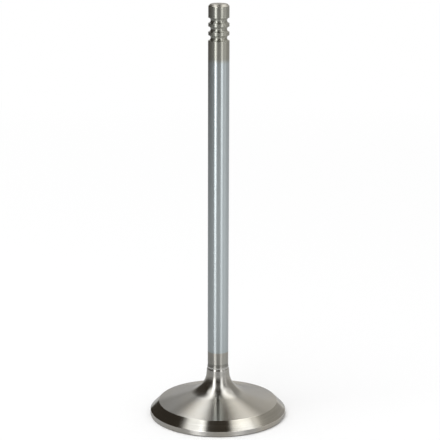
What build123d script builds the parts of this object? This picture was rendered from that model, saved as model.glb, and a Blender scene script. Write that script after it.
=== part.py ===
from build123d import *
import os
from math import cos, radians, sin, sqrt, tan

# Poppet valve for an engine's cylinder head, forged and turned as one piece of steel.
# It stands on its head: +Z runs up the stem, and the origin is the centre of the combustion face.
# Lengths are in millimetres and angles in degrees.

# Head
head_diameter = 52.6
margin_height = 2.15        # cylindrical rim between the combustion face and the seat
margin_chamfer = 0.45       # broken edge of the combustion face
seat_angle = 45.0           # ground seat, measured from the combustion face
seat_height = 3.3           # rise of the ground seat
back_angle = 16.5           # conical back of the head, measured from the combustion face

# Tulip sweep, from the back of the head into the neck, in two arcs
foot_radius = 10.0          # lower and wider arc
tulip_bend = 45.0           # slope where it hands over to the upper arc
tulip_radius = 8.0          # upper and tighter arc

# Neck, and the end of the ground stem
neck_taper = 4.0            # half angle of the neck, which narrows upwards
neck_height = 1.7           # from the top of the sweep to the step
neck_rise = 0.223           # how far the top of the neck stands proud of the stem
step_angle = 24.0           # step from the neck in to the collar, measured from the axis
collar_height = 1.1         # narrow turned ring between the step and the relief
collar_taper = 2.5          # it widens upwards
collar_rise = 0.05          # how far its upper edge stands proud of the stem
relief_radius = 4.0         # round-nosed groove that gives the grinding wheel room
relief_depth = 0.09         # how far its bottom lies below the stem's surface

# Stem and tip
overall_length = 160.0
stem_diameter = 8.0
tip_relief = 0.06           # how far the tip lies below the stem's surface
tip_chamfer = 0.8
tip_edge_radius = 0.4       # softens both corners of the chamfer

# Keeper grooves, which the beads of a split collet sit in
groove_count = 3
groove_radius = 1.0
groove_depth = 0.86
groove_land = 1.26          # left standing between two grooves
tip_land = 5.11             # from the tip face to the first groove

# Radii and heights that follow from the sizes
head_radius = head_diameter / 2
stem_radius = stem_diameter / 2
neck_radius = stem_radius + neck_rise
tip_radius = stem_radius - tip_relief
seat_slope, back_slope, taper = radians(seat_angle), radians(back_angle), radians(neck_taper)
bend_slope = radians(tulip_bend)

seat_top = margin_height + seat_height
seat_inner_radius = head_radius - seat_height / tan(seat_slope)

# The upper arc touches the neck's cone, the lower arc touches the back's cone, and they touch each
# other where both have the slope of tulip_bend.
sweep_top_radius = neck_radius + neck_height * tan(taper)
sweep_bend_radius = sweep_top_radius + tulip_radius * (cos(taper) - sin(bend_slope))
sweep_foot_radius = sweep_bend_radius + foot_radius * (sin(bend_slope) - sin(back_slope))
sweep_foot = seat_top + (seat_inner_radius - sweep_foot_radius) * tan(back_slope)
sweep_bend = sweep_foot + foot_radius * (cos(back_slope) - cos(bend_slope))
sweep_top = sweep_bend + tulip_radius * (cos(bend_slope) - sin(taper))

neck_top = sweep_top + neck_height
collar_radius = stem_radius + collar_rise
collar_foot_radius = collar_radius - collar_height * tan(radians(collar_taper))
collar_foot = neck_top + (neck_radius - collar_foot_radius) / tan(radians(step_angle))
collar_top = collar_foot + collar_height

# The relief's arc is lowest at relief_floor, and runs out into the collar and the stem.
relief_floor = stem_radius - relief_depth
relief_span = collar_rise + relief_depth
relief_middle = collar_top + sqrt(relief_span * (2 * relief_radius - relief_span))
stem_foot = relief_middle + sqrt(relief_depth * (2 * relief_radius - relief_depth))

groove_floor = tip_radius - groove_depth
groove_mouth = 2 * sqrt(groove_radius**2 - max(groove_radius - groove_depth, 0) ** 2)
groove_heights = [
    overall_length - tip_land - groove_mouth / 2 - number * (groove_mouth + groove_land)
    for number in range(groove_count)
]


def outline():
    """Outer line of the valve from the axis at the combustion face to the axis at the tip face."""
    head = Polyline(
        (0, 0),
        (head_radius - margin_chamfer, 0),
        (head_radius, margin_chamfer),
        (head_radius, margin_height),
        (seat_inner_radius, seat_top),
        (sweep_foot_radius, sweep_foot),
    )
    foot = TangentArc(head @ 1, (sweep_bend_radius, sweep_bend), tangent=head % 1)
    tulip = TangentArc(foot @ 1, (sweep_top_radius, sweep_top), tangent=foot % 1)
    neck = Polyline(
        tulip @ 1,
        (neck_radius, neck_top),
        (collar_foot_radius, collar_foot),
        (collar_radius, collar_top),
    )
    relief = ThreePointArc(neck @ 1, (relief_floor, relief_middle), (stem_radius, stem_foot))

    # The stem steps in to the tip's diameter inside the lowest groove, where the step can't be seen.
    stem = Polyline(relief @ 1, (stem_radius, groove_heights[-1]), (tip_radius, groove_heights[-1]))
    tip = FilletPolyline(
        stem @ 1,
        (tip_radius, overall_length - tip_chamfer),
        (tip_radius - tip_chamfer, overall_length),
        (0, overall_length),
        radius=tip_edge_radius,
    )
    Line(tip @ 1, head @ 0)


def turn_keeper_grooves():
    """Round-bottomed grooves, one above the other, each cut by a tool as wide as two radii."""
    with Locations(*[(groove_floor + 2 * groove_radius, height) for height in groove_heights]):
        SlotCenterToCenter(2 * groove_radius, 2 * groove_radius, mode=Mode.SUBTRACT)


with BuildPart() as valve:
    with BuildSketch(Plane.XZ):
        with BuildLine():
            outline()
        make_face()
        turn_keeper_grooves()
    revolve(axis=Axis.Z)

os.makedirs("parts", exist_ok=True)
export_step(valve.part, "parts/valve.step")
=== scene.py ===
# %% [markdown]
# # An engine valve, drawn as a lathe would turn it
#
# A poppet valve is one piece of steel. It has a flat round head, a seat ground on the head's rim, a
# long sweep into a slim stem, and grooves near the tip for the collet that ties it to its spring.
# All of it is round about one axis, so this lesson draws half of its outline and spins it.

# %% Load the frame
from math import atan2, cos, degrees, pi, radians, sin, sqrt, tan

import bpy
from mathutils import Matrix, Vector


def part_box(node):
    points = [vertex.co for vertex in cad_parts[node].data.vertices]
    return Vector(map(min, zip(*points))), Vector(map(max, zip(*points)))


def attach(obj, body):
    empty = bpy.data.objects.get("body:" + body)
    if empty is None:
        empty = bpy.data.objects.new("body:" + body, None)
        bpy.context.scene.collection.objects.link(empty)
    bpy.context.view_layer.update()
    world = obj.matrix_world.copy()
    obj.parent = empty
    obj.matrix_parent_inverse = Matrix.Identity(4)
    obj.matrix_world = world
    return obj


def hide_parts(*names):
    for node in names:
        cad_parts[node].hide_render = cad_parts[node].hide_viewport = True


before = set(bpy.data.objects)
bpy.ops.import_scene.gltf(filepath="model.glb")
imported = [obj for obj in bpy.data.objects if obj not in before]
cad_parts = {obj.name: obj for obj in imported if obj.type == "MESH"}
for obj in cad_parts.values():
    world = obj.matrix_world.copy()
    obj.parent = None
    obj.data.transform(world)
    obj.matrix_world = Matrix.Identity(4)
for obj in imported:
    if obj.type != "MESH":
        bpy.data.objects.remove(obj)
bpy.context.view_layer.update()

MM = 0.001
foot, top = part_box("valve")
head_radius, overall_length = top.x, top.z - foot.z
print(f"head {2 * head_radius / MM:.1f} mm across, valve {overall_length / MM:.1f} mm long")

# %% [markdown]
# ## Sizes
#
# The frame gives the head's radius and the whole length. The rest are the sizes that a drawing of
# the valve carries. Each is written once, and the corners of the outline follow from them.

# %% Head, neck and stem sizes
margin_height = 2.15 * MM
margin_chamfer = 0.45 * MM
seat_height = 3.3 * MM
seat_angle = radians(45)
back_angle = radians(16.5)
foot_radius = 10 * MM
tulip_bend = radians(45)
tulip_radius = 8 * MM
neck_taper = radians(4)
neck_height = 1.75 * MM
neck_rise = 0.32 * MM
step_angle = radians(17)
collar_height = 0.5 * MM
collar_rise = 0.11 * MM
collar_taper = radians(2.5)
relief_radius = 4 * MM
relief_depth = 0.02 * MM
stem_radius = 4 * MM
print(f"stem {2 * stem_radius / MM:.1f} mm thick")

# %% Tip and keeper groove sizes
tip_relief = 0.06 * MM
tip_chamfer = 0.8 * MM
tip_edge_radius = 0.4 * MM
groove_count = 3
groove_radius = 1 * MM
groove_depth = 0.86 * MM
groove_land = 1.26 * MM
tip_land = 5.11 * MM
print(f"{groove_count} grooves, {groove_depth / MM:.2f} mm deep")

# %% Corners that follow from the sizes
seat_top = margin_height + seat_height
seat_inner_radius = head_radius - seat_height / tan(seat_angle)
neck_radius = stem_radius + neck_rise
tip_radius = stem_radius - tip_relief

sweep_top_radius = neck_radius + neck_height * tan(neck_taper)
sweep_bend_radius = sweep_top_radius + tulip_radius * (cos(neck_taper) - sin(tulip_bend))
sweep_foot_radius = sweep_bend_radius + foot_radius * (sin(tulip_bend) - sin(back_angle))
sweep_foot = seat_top + (seat_inner_radius - sweep_foot_radius) * tan(back_angle)
sweep_bend = sweep_foot + foot_radius * (cos(back_angle) - cos(tulip_bend))
sweep_top = sweep_bend + tulip_radius * (cos(tulip_bend) - sin(neck_taper))
neck_top = sweep_top + neck_height
collar_radius = stem_radius + collar_rise
collar_foot_radius = collar_radius - collar_height * tan(collar_taper)
collar_foot = neck_top + (neck_radius - collar_foot_radius) / tan(step_angle)
collar_top = collar_foot + collar_height
relief_floor = stem_radius - relief_depth
relief_inset = relief_floor + relief_radius - collar_radius
relief_middle = collar_top + sqrt(relief_radius**2 - relief_inset**2)
stem_foot = relief_middle + sqrt(relief_depth * (2 * relief_radius - relief_depth))

groove_centre_radius = tip_radius - groove_depth + groove_radius
groove_pitch = 2 * sqrt(groove_radius**2 - (groove_radius - groove_depth) ** 2) + groove_land
highest_groove = overall_length - tip_land - (groove_pitch - groove_land) / 2
lowest_groove = highest_groove - (groove_count - 1) * groove_pitch
print(f"sweep from {sweep_foot / MM:.2f} to {sweep_top / MM:.2f} mm, stem from {stem_foot / MM:.2f} mm")

# %% [markdown]
# ## A pen made of one vertex
#
# The outline is drawn with one vertex, as a pen draws a line. Extruding the vertex leaves a
# straight edge behind it, and spinning it about a point leaves an arc. The arcs come out as true
# circles this way, which matters on bright metal: a flat spot shows in a reflection long before it
# shows in an outline. Each point is a distance from the axis and a height.

# %% Start the pen at the centre of the combustion face
bpy.ops.object.select_all(action="DESELECT")
bpy.ops.mesh.primitive_plane_add(size=MM)
valve = bpy.context.object
valve.name = "turned_valve"
bpy.ops.object.mode_set(mode="EDIT")
bpy.ops.mesh.select_all(action="SELECT")
bpy.ops.mesh.merge(type="CENTER")
pen = Vector((0, 0))
print("pen down at the centre of the combustion face")

# %% [markdown]
# A smooth surface shades along the average of its faces, so a wide face beside a small rounded edge
# would look bent. The cure is a holding ring: one more ring close to each end of a straight
# stretch, so that the average only changes between the ring and the edge. The gap to the edge is
# holding_gap, or holding_share of a stretch that is too short for that. A long stretch gets more
# rings in between.

# %% Strokes of the pen
holding_gap, holding_share = 0.15 * MM, 0.25
ring_spacing = 4 * MM


def line_to(end):
    """Draws a straight stretch to end, with a holding ring near each end and more in between."""
    global pen
    stretch = end - pen
    hold = stretch.normalized() * min(holding_gap, stretch.length * holding_share)
    inside = stretch - 2 * hold
    count = max(1, round(inside.length / ring_spacing))
    for step in [hold] + [inside / count] * count + [hold]:
        bpy.ops.mesh.extrude_region_move(TRANSFORM_OT_translate={"value": (step.x, 0, step.y)})
    pen = end


def arc_to(end, centre, steps):
    """Draws an arc about centre to end."""
    global pen
    turn = (end - centre).angle_signed(pen - centre)
    bpy.ops.mesh.spin(steps=steps, angle=turn, center=(centre.x, 0, centre.y), axis=(0, 1, 0))
    pen = end


worn_corners = []
wear_reach = 1.01  # times the distance from a corner to the ends of its arc


def rounded_corner(corner, after, radius, steps):
    """Draws a line towards corner and rounds it off, ready to go on towards after."""
    back, ahead = (pen - corner).normalized(), (after - corner).normalized()
    half = back.angle(ahead) / 2
    centre = corner + (back + ahead).normalized() * radius / sin(half)
    line_to(corner + back * radius / tan(half))
    arc_to(corner + ahead * radius / tan(half), centre, steps)
    worn_corners.append((corner, wear_reach * radius / tan(half)))


# %% [markdown]
# ## The head
#
# A seat is ground with a hard wheel, but nothing on the head is left knife-sharp. A tenth of a
# millimetre is enough for an edge to catch the light as a thin line.

# %% Draw the combustion face, the margin, the seat and the back
edge_radius, edge_steps = 0.12 * MM, 3
head_corners = [
    Vector((head_radius - margin_chamfer, 0)),
    Vector((head_radius, margin_chamfer)),
    Vector((head_radius, margin_height)),
    Vector((seat_inner_radius, seat_top)),
    Vector((sweep_foot_radius, sweep_foot)),
]
for corner, after in zip(head_corners, head_corners[1:]):
    rounded_corner(corner, after, edge_radius, edge_steps)
line_to(head_corners[-1])
print(f"seat {2 * seat_inner_radius / MM:.1f} mm across inside")

# %% [markdown]
# ## The tulip sweep, the neck and the relief
#
# The sweep carries heat from the head into the stem and lets the gas turn the corner, and it is the
# shape that a valve is known by. It is two arcs: a wide one that touches the cone of the back, and
# a tighter one that takes over where the slope is tulip_bend and touches the narrow cone of the
# neck. One arc would be simpler, but it is too full at the foot or too thin at the neck.
#
# Above the neck a small step leads in to a thin collar. Above the collar a shallow groove gives the
# grinding wheel room, so that it can leave the stem true down to its foot and never cuts the neck.

# %% Draw the sweep
lower_steps, upper_steps = 18, 24
sweep_centre = head_corners[-1] + foot_radius * Vector((sin(back_angle), cos(back_angle)))
arc_to(Vector((sweep_bend_radius, sweep_bend)), sweep_centre, lower_steps)
sweep_centre = pen + tulip_radius * Vector((sin(tulip_bend), cos(tulip_bend)))
arc_to(Vector((sweep_top_radius, sweep_top)), sweep_centre, upper_steps)
print(f"sweep narrows from {2 * sweep_foot_radius / MM:.1f} to {2 * sweep_top_radius / MM:.1f} mm")

# %% Draw the neck, the step, the collar and the relief
shoulder_radius, shoulder_steps, relief_steps = 0.06 * MM, 3, 12
neck_corners = [
    Vector((neck_radius, neck_top)),
    Vector((collar_foot_radius, collar_foot)),
    Vector((collar_radius, collar_top)),
]
relief_centre = Vector((relief_floor + relief_radius, relief_middle))
from_centre = neck_corners[-1] - relief_centre
neck_corners.append(neck_corners[-1] + Vector((from_centre.y, -from_centre.x)))
for corner, after in zip(neck_corners, neck_corners[1:]):
    rounded_corner(corner, after, shoulder_radius, shoulder_steps)
arc_to(Vector((stem_radius, stem_foot)), relief_centre, relief_steps)
print(f"collar from {collar_foot / MM:.2f} to {collar_top / MM:.2f} mm")

# %% [markdown]
# ## The keeper grooves and the tip
#
# A split collet grips the stem by beads that sit in these grooves. A form tool with a round nose
# cuts them, and their lips are broken so that they can't scratch the guide. Each lip's small circle
# touches the groove's circle and the land beside it, which gives its centre by Pythagoras.

# %% Draw the stem and the grooves
lip_radius, lip_steps, groove_steps = 0.12 * MM, 4, 14


def draw_groove(height, land_below):
    """Draws the land up to a groove at height and the groove itself, with both of its lips."""
    middle = Vector((groove_centre_radius, height))
    reach = groove_radius + lip_radius
    lips = []
    for land, side in ((land_below, -1), (tip_radius, 1)):
        inset = groove_centre_radius - land + lip_radius
        lips.append(Vector((land - lip_radius, height + side * sqrt(reach**2 - inset**2))))
    lip_ends = [middle + (lip - middle) * groove_radius / reach for lip in lips]
    line_to(Vector((land_below, lips[0].y)))
    arc_to(lip_ends[0], lips[0], lip_steps)
    arc_to(lip_ends[1], middle, groove_steps)
    arc_to(Vector((tip_radius, lips[1].y)), lips[1], lip_steps)


for number in range(groove_count):
    draw_groove(lowest_groove + number * groove_pitch, tip_radius if number else stem_radius)
print(f"grooves {groove_pitch / MM:.2f} mm apart, the highest at {highest_groove / MM:.2f} mm")

# %% Draw the tip
tip_edge_steps = 6
chamfer_foot = Vector((tip_radius, overall_length - tip_chamfer))
chamfer_head = Vector((tip_radius - tip_chamfer, overall_length))
tip_centre = Vector((0, overall_length))
rounded_corner(chamfer_foot, chamfer_head, tip_edge_radius, tip_edge_steps)
rounded_corner(chamfer_head, tip_centre, tip_edge_radius, tip_edge_steps)
line_to(tip_centre)
valve.update_from_editmode()
print(f"{len(valve.data.vertices)} points in the outline")

# %% [markdown]
# ## Turn the outline into steel
#
# One spin about the Z axis makes the whole body. The spin leaves a seam where its last step meets
# its first, and a heap of vertices at each end of the axis, so doubles are merged before the
# normals are set outwards.

# %% Spin the outline
steps_round, merge_distance = 192, 0.001 * MM
bpy.ops.mesh.select_all(action="SELECT")
bpy.ops.mesh.spin(steps=steps_round, angle=2 * pi, center=(0, 0, 0), axis=(0, 0, 1))
bpy.ops.mesh.select_all(action="SELECT")
bpy.ops.mesh.remove_doubles(threshold=merge_distance)
bpy.ops.mesh.normals_make_consistent(inside=False)
bpy.ops.object.mode_set(mode="OBJECT")
bpy.ops.object.shade_smooth()
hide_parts("valve")
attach(valve, "root")
print(f"{len(valve.data.vertices)} vertices, {len(valve.data.polygons)} faces")

# %% [markdown]
# ## Finishes
#
# Every finish is metal with a Principled shader. The cutting marks run round the axis, so a
# highlight stays narrow round the valve and stretches along it. The shader's anisotropy does that
# for marks too fine to see, and a bump of fine rings draws the ones that can be seen close up.

# %% Helpers for node trees
def add_node(tree, kind, settings=None, **inputs):
    """Adds a node to tree. Each input is a plain value or another node's output."""
    node = tree.nodes.new("ShaderNode" + kind)
    for name, value in (settings or {}).items():
        setattr(node, name, value)
    for name, value in inputs.items():
        key = int(name[1:]) if name[0] == "_" else name.replace("_", " ")
        if isinstance(value, bpy.types.NodeSocket):
            tree.links.new(value, node.inputs[key])
        else:
            node.inputs[key].default_value = value
    return node


def calculate(tree, operation, first, second=0.0, third=0.0):
    """Adds a Math node and returns its output."""
    return add_node(tree, "Math", {"operation": operation}, _0=first, _1=second, _2=third).outputs[0]


def between(tree, value, low, high, least=0.0, most=1.0):
    """Adds a Map Range node, which takes low to least and high to most, and returns its output."""
    inputs = {"From_Min": low, "From_Max": high, "To_Min": least, "To_Max": most}
    return add_node(tree, "MapRange", Value=value, **inputs).outputs[0]


# %% [markdown]
# A lathe tool leaves a fine thread, and a grinding wheel leaves short arcs that come and go. Both
# follow rings about the axis, so the pattern is laid out by distance from the axis and by height,
# and it only drifts slowly on the way round. That takes a noise with four inputs: the distance, the
# height, and X and Y scaled down by drift.

# %% Patterns that every finish is mixed from
drift, arc_scale = 0.03, 0.2
mottle_size, tint_size = 6 * MM, 15 * MM
mark_detail, arc_detail, mottle_detail, tint_detail = 3.0, 2.0, 4.0, 1.0


def steel_patterns(tree, mark_pitch):
    """Adds the patterns of worked steel, and returns its marks, arcs, mottle, patches and wear."""
    place = add_node(tree, "TexCoord").outputs["Object"]
    split = add_node(tree, "SeparateXYZ", Vector=place)
    flat = add_node(tree, "CombineXYZ", X=split.outputs["X"], Y=split.outputs["Y"])
    radius = add_node(tree, "VectorMath", {"operation": "LENGTH"}, _0=flat.outputs[0]).outputs["Value"]
    slow_x = calculate(tree, "MULTIPLY", split.outputs["X"], drift)
    slow_y = calculate(tree, "MULTIPLY", split.outputs["Y"], drift)
    ring = add_node(tree, "CombineXYZ", X=radius, Y=slow_x, Z=split.outputs["Z"]).outputs[0]
    dimensions = {"noise_dimensions": "4D"}
    lay = {"Vector": ring, "W": slow_y}
    marks = add_node(tree, "TexNoise", dimensions, **lay, Scale=1 / mark_pitch, Detail=mark_detail)
    arcs = add_node(tree, "TexNoise", dimensions, **lay, Scale=arc_scale / mark_pitch, Detail=arc_detail)
    mottle = add_node(tree, "TexNoise", Vector=place, Scale=1 / mottle_size, Detail=mottle_detail)
    patches = add_node(tree, "TexNoise", Vector=place, Scale=1 / tint_size, Detail=tint_detail)
    worn = add_node(tree, "Attribute", {"attribute_name": "worn"}).outputs["Fac"]
    return [noise.outputs[0] for noise in (marks, arcs, mottle, patches)] + [worn]


# %% [markdown]
# The patterns are then mixed into one metal. Its shade varies a little with the mottle and the arcs,
# the same steel is warmer here and cooler there, and every corner that a hand or a gauge has touched
# is polished a little brighter.

# %% One steel with marks that run round the axis
mottle_strength, wear_strength = 0.12, 0.12
uneven_roughness, worn_roughness = 0.08, -0.03
warm, cool = (1.02, 1.0, 0.96), (0.98, 1.0, 1.04)
all_cool, all_warm = 0.35, 0.65
quarter_turn = 0.25


def steel(name, colour, roughness, stretch, mark_pitch, mark_depth, streak):
    """Makes a machined metal. The streak is how strongly arcs of it differ in shade."""
    material = bpy.data.materials.new(name)
    material.use_nodes = True
    tree = material.node_tree
    shader = tree.nodes["Principled BSDF"]
    marks, arcs, mottle, patches, worn = steel_patterns(tree, mark_pitch)

    shade = 1 - (mottle_strength + streak) / 2
    shade = calculate(tree, "MULTIPLY_ADD", mottle, mottle_strength, shade)
    shade = calculate(tree, "MULTIPLY_ADD", arcs, streak, shade)
    shade = calculate(tree, "MULTIPLY_ADD", worn, wear_strength, shade)
    warmth = between(tree, patches, all_cool, all_warm)
    tones = [tuple(part * hue for part, hue in zip(colour, tone)) + (1,) for tone in (cool, warm)]
    tint = add_node(tree, "Mix", {"data_type": "RGBA"}, _0=warmth, _6=tones[0], _7=tones[1])
    tint = add_node(tree, "VectorMath", {"operation": "SCALE"}, _0=tint.outputs[2], Scale=shade)
    tree.links.new(tint.outputs[0], shader.inputs["Base Color"])

    rough = roughness - uneven_roughness / 2
    rough = calculate(tree, "MULTIPLY_ADD", arcs, uneven_roughness, rough)
    rough = calculate(tree, "MULTIPLY_ADD", worn, worn_roughness, rough)
    tree.links.new(rough, shader.inputs["Roughness"])
    bump = add_node(tree, "Bump", Height=marks, Distance=mark_depth)
    tree.links.new(bump.outputs[0], shader.inputs["Normal"])
    tangent = add_node(tree, "Tangent", {"direction_type": "RADIAL", "axis": "Z"})
    tree.links.new(tangent.outputs[0], shader.inputs["Tangent"])
    shader.inputs["Metallic"].default_value = 1
    shader.inputs["Anisotropic"].default_value = stretch
    shader.inputs["Anisotropic Rotation"].default_value = quarter_turn
    return material


# %% Paint wear on the vertices of every rounded corner
worn = valve.data.attributes.new("worn", "FLOAT", "POINT")
for vertex in valve.data.vertices:
    place = Vector((vertex.co.xy.length, vertex.co.z))
    near = [(place - corner).length < reach for corner, reach in worn_corners]
    worn.data[vertex.index].value = any(near)
print(f"wear on {len(worn_corners)} corners")

# %% [markdown]
# ## One finish for each cut
#
# The head is turned, its seat is ground on a machine of its own, and the stem and the tip are ground
# between centres, so each has its own grain and shine. All of these bands lie round the axis, so the
# height of a face is enough to tell which cut made it. A band ends at an edge of the outline, where
# the eye expects a change, or where two stretches touch, and there the neighbours are nearly alike.

# %% Give each zone its finish
MICRON = 0.001 * MM
edge_overlap, chamfer_overlap = 0.05 * MM, 0.2 * MM
face_start, margin_start = -MM, 0.02 * MM
seat_start, back_start = margin_height + edge_overlap, seat_top - edge_overlap
tip_start, chamfer_start = 130 * MM, overall_length - tip_chamfer - chamfer_overlap
zones = [  # name, lowest point, colour, roughness, stretch, pitch and depth of the marks, streak
    ("turned_face", face_start, (0.48, 0.46, 0.42), 0.3, 0.6, 0.25 * MM, 2 * MICRON, 0.2),
    ("turned_margin", margin_start, (0.61, 0.585, 0.535), 0.3, 1, 0.2 * MM, 1 * MICRON, 0.15),
    ("ground_seat", seat_start, (0.46, 0.445, 0.4), 0.12, 0.9, 0.1 * MM, 0.5 * MICRON, 0.3),
    ("turned_back", back_start, (0.46, 0.445, 0.405), 0.235, 1, 0.2 * MM, 0.7 * MICRON, 0.08),
    ("turned_sweep", sweep_foot, (0.45, 0.435, 0.395), 0.2, 1, 0.2 * MM, 0.7 * MICRON, 0.06),
    ("turned_neck", sweep_top, (0.45, 0.435, 0.395), 0.22, 1, 0.1 * MM, 0.3 * MICRON, 0.1),
    # The collar's paler colour is a painted highlight, the thin bright ring above the neck.
    ("turned_collar", collar_foot, (0.58, 0.565, 0.52), 0.18, 1, 0.1 * MM, 0.3 * MICRON, 0.1),
    # The relief is a hollow, and its darker colour is painted shade in it.
    ("turned_relief", collar_top, (0.34, 0.33, 0.295), 0.32, 1, 0.1 * MM, 0.3 * MICRON, 0.1),
    ("ground_stem", stem_foot, (0.47, 0.456, 0.407), 0.35, 1, 0.1 * MM, 0.3 * MICRON, 0.1),
    ("ground_tip", tip_start, (0.39, 0.39, 0.345), 0.32, 1, 0.1 * MM, 0.5 * MICRON, 0.1),
    ("ground_chamfer", chamfer_start, (0.42, 0.405, 0.36), 0.4, 0.5, 0.1 * MM, 0.5 * MICRON, 0.1),
]
for name, height, *finish in zones:
    valve.data.materials.append(steel(name, *finish))
for face in valve.data.polygons:
    face.material_index = max(i for i, zone in enumerate(zones) if face.center.z > zone[1])
print(f"{len(zones)} finishes")

# %% [markdown]
# ## Hard chrome on the stem
#
# A stem slides in its guide thousands of times a minute, so it is plated with hard chrome, a few
# hundredths of a millimetre thick and then ground. The plating stops at a sharp line where the lower
# end was masked, and it thins out towards the grooves. It is a change of colour and shine with no
# step that a hand could feel, so it is mixed by height into the materials that it runs over. The
# stem's own finish hands over to the tip's somewhere under the chrome, where no seam can show.

# %% Plate the middle of the stem with chromium
chrome_foot, chrome_foot_edge = 25.65 * MM, 0.1 * MM
chrome_fade, chrome_top = 138 * MM, 139.8 * MM
chrome_colour, chrome_roughness = (0.49, 0.54, 0.555), 0.28


def plate(material):
    """Mixes chrome into a material between chrome_foot and chrome_top."""
    tree = material.node_tree
    shader = tree.nodes["Principled BSDF"]
    place = add_node(tree, "TexCoord").outputs["Object"]
    height = add_node(tree, "SeparateXYZ", Vector=place).outputs["Z"]
    start = between(tree, height, chrome_foot - chrome_foot_edge, chrome_foot + chrome_foot_edge)
    end = between(tree, height, chrome_fade, chrome_top, 1.0, 0.0)
    plated = calculate(tree, "MULTIPLY", start, end)
    bare = shader.inputs["Base Color"].links[0].from_socket
    mix = add_node(tree, "Mix", {"data_type": "RGBA"}, _0=plated, _6=bare, _7=(*chrome_colour, 1))
    tree.links.new(mix.outputs[2], shader.inputs["Base Color"])
    bare = shader.inputs["Roughness"].links[0].from_socket
    rough = add_node(tree, "Mix", _0=plated, _2=bare, _3=chrome_roughness)
    tree.links.new(rough.outputs[0], shader.inputs["Roughness"])


for name in ("ground_stem", "ground_tip"):
    plate(valve.data.materials[name])
print(f"chrome from {chrome_foot / MM:.2f} to {chrome_fade / MM:.2f} mm")

# %% [markdown]
# ## The camera
#
# A long lens keeps the sides of the stem parallel, and it stands far enough back for the whole
# valve. It looks down by 14 degrees, so that the back of the head opens into an ellipse and the
# sweep is seen from above as well as from the side. A hand-held camera is never quite level, and
# that is what the small roll is.

# %% Place the camera
camera_back, camera_height, lens_length = 0.61, 0.2301, 135.23
lens_pitch, lens_yaw, lens_roll = radians(14.014), radians(0.059), radians(0.17)
bpy.ops.object.camera_add()
camera = bpy.context.object
camera.matrix_world = (
    Matrix.Translation((0, -camera_back, camera_height))
    @ Matrix.Rotation(-lens_yaw, 4, "Z")
    @ Matrix.Rotation(pi / 2 - lens_pitch, 4, "X")
    @ Matrix.Rotation(lens_roll, 4, "Z")
)
camera.data.lens = lens_length
bpy.context.scene.camera = camera
print(f"camera {camera_back:.2f} m back and {camera_height:.2f} m up")

# %% [markdown]
# ## A pale floor that runs into white
#
# The floor carries the valve's shadow, so close by it is plain matt paint that the lamp lights.
# Further out it blends into a glow of strength 1, which is white, and the horizon disappears. Only
# the rays that show the room see that glow: those of the camera, of mirrors and of glass. Light
# that bounces off the floor onto the valve still comes from the paint alone.

# %% Lay the floor
disc_points = 96
floor_radius, paint_grey = 3, 0.88


def matt_disc(name, radius, finish):
    """Lays a disc in a matt finish. Returns it with the finish's node tree and shader."""
    bpy.ops.mesh.primitive_circle_add(vertices=disc_points, radius=radius, fill_type="NGON")
    disc = bpy.context.object
    disc.name = name
    material = bpy.data.materials.new(finish)
    material.use_nodes = True
    shader = material.node_tree.nodes["Principled BSDF"]
    shader.inputs["Roughness"].default_value = 1
    shader.inputs["Specular IOR Level"].default_value = 0
    disc.data.materials.append(material)
    return disc, material.node_tree, shader


floor, tree, shader = matt_disc("floor", floor_radius, "pale_floor")
shader.inputs["Base Color"].default_value = (paint_grey, paint_grey, paint_grey, 1)
print(f"floor {2 * floor_radius} m across")


# %% Let the far floor run into white
def seen_rays(tree):
    """1 for the rays that show the room in a picture, a mirror or a glass."""
    rays = add_node(tree, "LightPath").outputs
    seen = calculate(tree, "MAXIMUM", rays["Is Camera Ray"], rays["Is Glossy Ray"])
    return calculate(tree, "MAXIMUM", seen, rays["Is Transmission Ray"])


fade_from, fade_to = 150 * MM, 700 * MM
place = add_node(tree, "TexCoord").outputs["Object"]
reach = add_node(tree, "VectorMath", {"operation": "LENGTH"}, _0=place)
far = between(tree, reach.outputs["Value"], fade_from, fade_to)
pure_white = add_node(tree, "Emission", Strength=1.0)
fade = calculate(tree, "MULTIPLY", far, seen_rays(tree))
blend = add_node(tree, "MixShader", _0=fade, _1=shader.outputs[0], _2=pure_white.outputs[0])
tree.links.new(blend.outputs[0], tree.nodes["Material Output"].inputs["Surface"])
print(f"floor white from {fade_to / MM:.0f} mm out")

# %% [markdown]
# ## Painted floor shade for the reflections
#
# Bright steel shows the room more than it shows itself. The lower half of what the stem and the head
# mirror is the floor, and on a white one they would lose their form. So a disc that only reflections
# see lies just over the floor, painted with shade: a painted shadow of the valve makes it darker near
# the valve and paler further out, and painted shade makes it paler towards the lens and the right
# than behind and on the left.

# %% Lay a disc of painted floor shade that only reflections see
near_reach, far_reach = 40 * MM, 120 * MM
near_grey, far_grey = 0.5, 0.67
paler_side, tent_radius, shade_disc_lift = (0.12, -0.17, 0), 0.6, 0.05 * MM
shade_disc, tree, shader = matt_disc("painted_shade_disc", tent_radius, "painted_floor_shade")
shade_disc.location.z = shade_disc_lift
place = add_node(tree, "TexCoord").outputs["Object"]
reach = add_node(tree, "VectorMath", {"operation": "LENGTH"}, _0=place).outputs["Value"]
side = add_node(tree, "VectorMath", {"operation": "NORMALIZE"}, _0=place).outputs[0]
# Painted shade: darker near the valve as its shadow, and darker behind and on the left
lean = add_node(tree, "VectorMath", {"operation": "DOT_PRODUCT"}, _0=side, _1=paler_side)
far = calculate(tree, "ADD", lean.outputs["Value"], far_grey)
grey = between(tree, reach, near_reach, far_reach, near_grey, far)
tree.links.new(grey, shader.inputs["Base Color"])
shade_disc.visible_camera = shade_disc.visible_diffuse = shade_disc.visible_shadow = False
print(f"mat {2 * tent_radius:.1f} m across")
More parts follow.
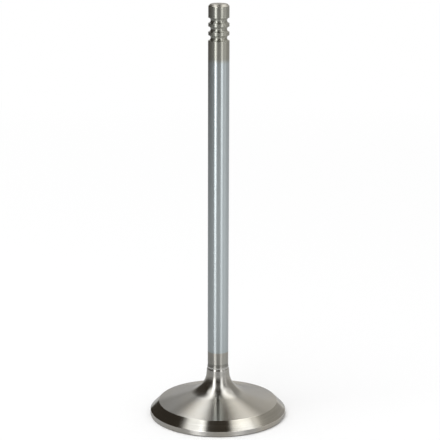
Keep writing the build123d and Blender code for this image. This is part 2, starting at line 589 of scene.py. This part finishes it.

# %% [markdown]
# ## A tent of light
#
# A bare lamp in turned steel is a hard spot. So a piece like this is lit inside a tent of white
# cloth, with panels of light behind it, and what the metal shows is the glowing cloth. A panel that
# stands upright gives a bright strip along the stem, at the place where the stem turns halfway
# towards it. The back of the head looks up, so its bright fans come from panels laid on the roof,
# and the dark gap between two panels gives the form its edge.
#
# The tent could be one emitting plane for each panel, but their hard edges would show. Here it is one
# dome whose vertices are painted with the light from their direction, so every edge is soft. As with
# the disc of painted floor shade, only reflections see it, so it casts no shadow and adds no light to
# the floor.

# %% Plan the lit panels of the tent
wall_panels = [  # name, from and to (degrees round, 0 towards the lens), highest, glow, soft edge
    ("left_strip", -45, -30, 60, 2.8, 5),
    ("left_strip_foot", -35, -20, 30, 1.9, 5),
    ("right_strip", 25, 45, 50, 1.8, 5),
    ("right_side", 45, 80, 30, 0.55, 10),
    ("right_wall", 70, 160, 50, 0.4, 10),
    ("rear_wall", 155, 185, 40, 0.6, 10),
    ("rear_wall_left", 185, 200, 40, 0.5, 10),
]
roof_panels = [  # name, left, right, front, back (per metre of height), glow, soft edge
    ("left_front", -0.75, -0.3, -1.3, 0.15, 1.8, 0.15),
    ("left_back", -0.35, -0.15, -0.2, 1.2, 2.3, 0.15),
    ("right_front", 0.3, 0.9, -1, -0.1, 1.2, 0.1),
    ("front_bridge", -0.4, 0.4, -1.3, -0.6, 0.25, 0.1),
    ("right_back", 0.2, 0.5, -0.2, 0.9, 1.7, 0.15),
    ("left_far", -0.6, -0.2, 1.2, 2.2, 0.4, 0.15),
    ("rear_bridge", -0.15, 0.2, 0.1, 0.9, 0.2, 0.1),
    ("right_side_top", 0.35, 1, -0.35, 0.6, 1, 0.15),
]
cloth_glow, cloth_tone = 0.045, Vector((1.2, 1.0, 0.8))
white = Vector((1, 1, 1))
print(f"{len(wall_panels)} panels on the wall, {len(roof_panels)} on the roof")

# %% [markdown]
# A panel on the wall is given by angles round the valve and one angle up. A panel on the roof is a
# rectangle on a flat ceiling, given by distances for each metre of height, which a straight strip of
# light needs: angles would bend it. Each limit has a ramp, and the wider it is the softer the edge.

# %% Work out the glow in a direction
straight_down, wall_top_edge = -90, 8  # degrees
roof_start, roof_end_edge = 15, 0.1  # degrees, and per metre of height


def inside(value, low, high, edge):
    """1 between low and high, 0 outside, with a ramp as wide as edge centred on each limit."""
    ramp = min(value - low, high - value) / edge + 0.5
    return min(max(ramp, 0), 1)


def glow_towards(direction):
    """Adds up the panels that lie in a direction from the valve's foot."""
    flat = direction.xy.length
    round_angle = degrees(atan2(direction.x, -direction.y))
    rise = degrees(atan2(direction.z, flat))
    total = 0
    for _, first, last, highest, glow, edge in wall_panels:
        off_centre = (round_angle - (first + last) / 2 + 180) % 360 - 180
        half = (last - first) / 2
        beside = inside(off_centre, -half, half, edge)
        total += glow * beside * inside(rise, straight_down, highest, wall_top_edge)
    if rise > roof_start:
        across, along = direction.x / direction.z, direction.y / direction.z
        for _, left, right, front, back, glow, edge in roof_panels:
            beside = inside(across, left, right, edge)
            total += glow * beside * inside(along, front, back, roof_end_edge)
    return cloth_glow * cloth_tone + total * white


# %% Hang the tent
columns, rows = 144, 72
bpy.ops.mesh.primitive_uv_sphere_add(segments=columns, ring_count=rows, radius=tent_radius)
tent = bpy.context.object
tent.name = "light_tent"
glow = tent.data.attributes.new("glow", "FLOAT_COLOR", "POINT")
for vertex in tent.data.vertices:
    glow.data[vertex.index].color = (*glow_towards(vertex.co.normalized()), 1)
cloth = bpy.data.materials.new("tent_cloth")
cloth.use_nodes = True
tree = cloth.node_tree
tree.nodes.remove(tree.nodes["Principled BSDF"])
painted = add_node(tree, "Attribute", {"attribute_name": "glow"})
shine = add_node(tree, "Emission", Color=painted.outputs["Color"], Strength=1.0)
tree.links.new(shine.outputs[0], tree.nodes["Material Output"].inputs["Surface"])
tent.data.materials.append(cloth)
tent.visible_camera = tent.visible_diffuse = tent.visible_shadow = tent.visible_transmission = False
print(f"tent of {len(tent.data.vertices)} vertices")

# %% [markdown]
# ## The lamp and the room
#
# One wide lamp overhead lights the floor and draws the shadow. Reflections don't see it, because the
# tent is there for them. The white room fills the shadow, and to the camera it is plain white.

# %% Hang the lamp
lamp_place, lamp_size, lamp_watts = (-1, -1, 3.5), 2.5, 70
bpy.ops.object.light_add(type="AREA", location=lamp_place)
lamp = bpy.context.object
lamp.name = "top_box"
lamp.rotation_euler = lamp.location.to_track_quat("Z", "Y").to_euler()
lamp.data.shape = "SQUARE"
lamp.data.size, lamp.data.energy = lamp_size, lamp_watts
lamp.visible_glossy = lamp.visible_camera = False
print(f"lamp {lamp.location.length:.1f} m away")

# %% Light the room
world = bpy.data.worlds.new("room")
bpy.context.scene.world = world
world.use_nodes = True
tree = world.node_tree
room_light = 0.75
strength = between(tree, seen_rays(tree), 0.0, 1.0, room_light, 1.0)
tree.links.new(strength, tree.nodes["Background"].inputs["Strength"])
tree.nodes["Background"].inputs["Color"].default_value = (1, 1, 1, 1)
bpy.context.scene.view_settings.view_transform = "Standard"
print(f"room light {room_light}")
